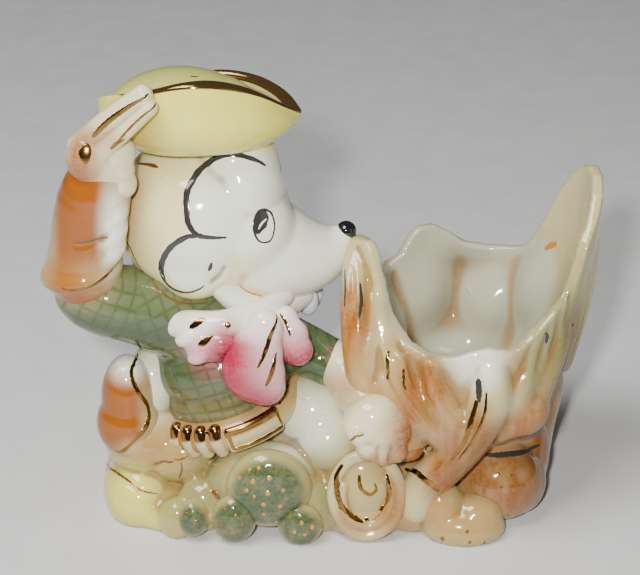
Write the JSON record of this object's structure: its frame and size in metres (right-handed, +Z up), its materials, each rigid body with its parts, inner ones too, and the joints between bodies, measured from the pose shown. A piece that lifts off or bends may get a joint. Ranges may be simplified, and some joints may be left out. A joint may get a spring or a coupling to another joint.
{
  "type": "figural animal coin bank",
  "caption": "Glazed ceramic figural coin bank: a mouse in a cowboy hat squatting beside a hollow tree stump pocket, coin slot in the back, stopper in the base.",
  "frame": {"origin": "on the floor under the middle of the object's box", "axes": "+Z up, +X along the length from the figure towards the stump, -Y the decorated front"},
  "size_m": [0.1851, 0.0985, 0.1561],
  "materials": {
    "ivory_glaze": "clear gloss glaze over cream earthenware",
    "ground_glaze": "clear gloss glaze over cream with airbrushed yellow and green",
    "stump_glaze": "clear gloss glaze over cream with airbrushed orange streaks",
    "shirt_glaze": "clear gloss glaze over airbrushed sage green on cream",
    "orange_glaze": "clear gloss glaze over airbrushed orange on cream",
    "hat_glaze": "clear gloss glaze over airbrushed pale yellow",
    "bandana_glaze": "clear gloss glaze over airbrushed crimson on white",
    "cactus_glaze": "clear gloss glaze over airbrushed green on cream",
    "tooth_glaze": "clear gloss glaze over white",
    "black_glaze": "gloss black",
    "gold_lustre": "fired gold lustre over the glaze",
    "stopper_rubber": "matt moulded rubber"
  },
  "bodies": {
    "pottery": {"back_root": "stump_glaze", "bandana_collar": "bandana_glaze", "bandana_far_tail": "bandana_glaze", "bandana_knot": "bandana_glaze", "bandana_near_tail": "bandana_glaze", "belt_buckle": "gold_lustre", "cactus_large_pad": "cactus_glaze", "cactus_small_pads": "cactus_glaze", "cartridge_belt": "gold_lustre", "cartridges": "gold_lustre", "foot_rock": "ground_glaze", "front_root": "stump_glaze", "front_teeth": "tooth_glaze", "ground_base": "ground_glaze", "hat_brim": "hat_glaze", "hat_crown": "hat_glaze", "head": "ivory_glaze", "hips": "ivory_glaze", "lasso_back": "ivory_glaze", "lasso_rope": "orange_glaze", "left_fist": "ivory_glaze", "left_gauntlet": "orange_glaze", "left_leg": "ivory_glaze", "left_sleeve": "shirt_glaze", "lower_jaw": "ivory_glaze", "nose": "black_glaze", "right_boot": "hat_glaze", "right_chap": "orange_glaze", "right_fingers": "ivory_glaze", "right_gauntlet": "orange_glaze", "right_leg": "ivory_glaze", "right_palm": "ivory_glaze", "right_sleeve": "shirt_glaze", "right_thumb": "orange_glaze", "side_root": "stump_glaze", "speckled_boulder": "orange_glaze", "stump_pocket": "stump_glaze", "torso": "shirt_glaze"},
    "stopper": {"rubber_stopper": "stopper_rubber"}
  },
  "joints": [
    {"name": "stopper_pull", "type": "slide", "parent": "pottery", "child": "stopper", "axis": [0, 0, -1], "range_m": [0, 0.025]}
  ]
}
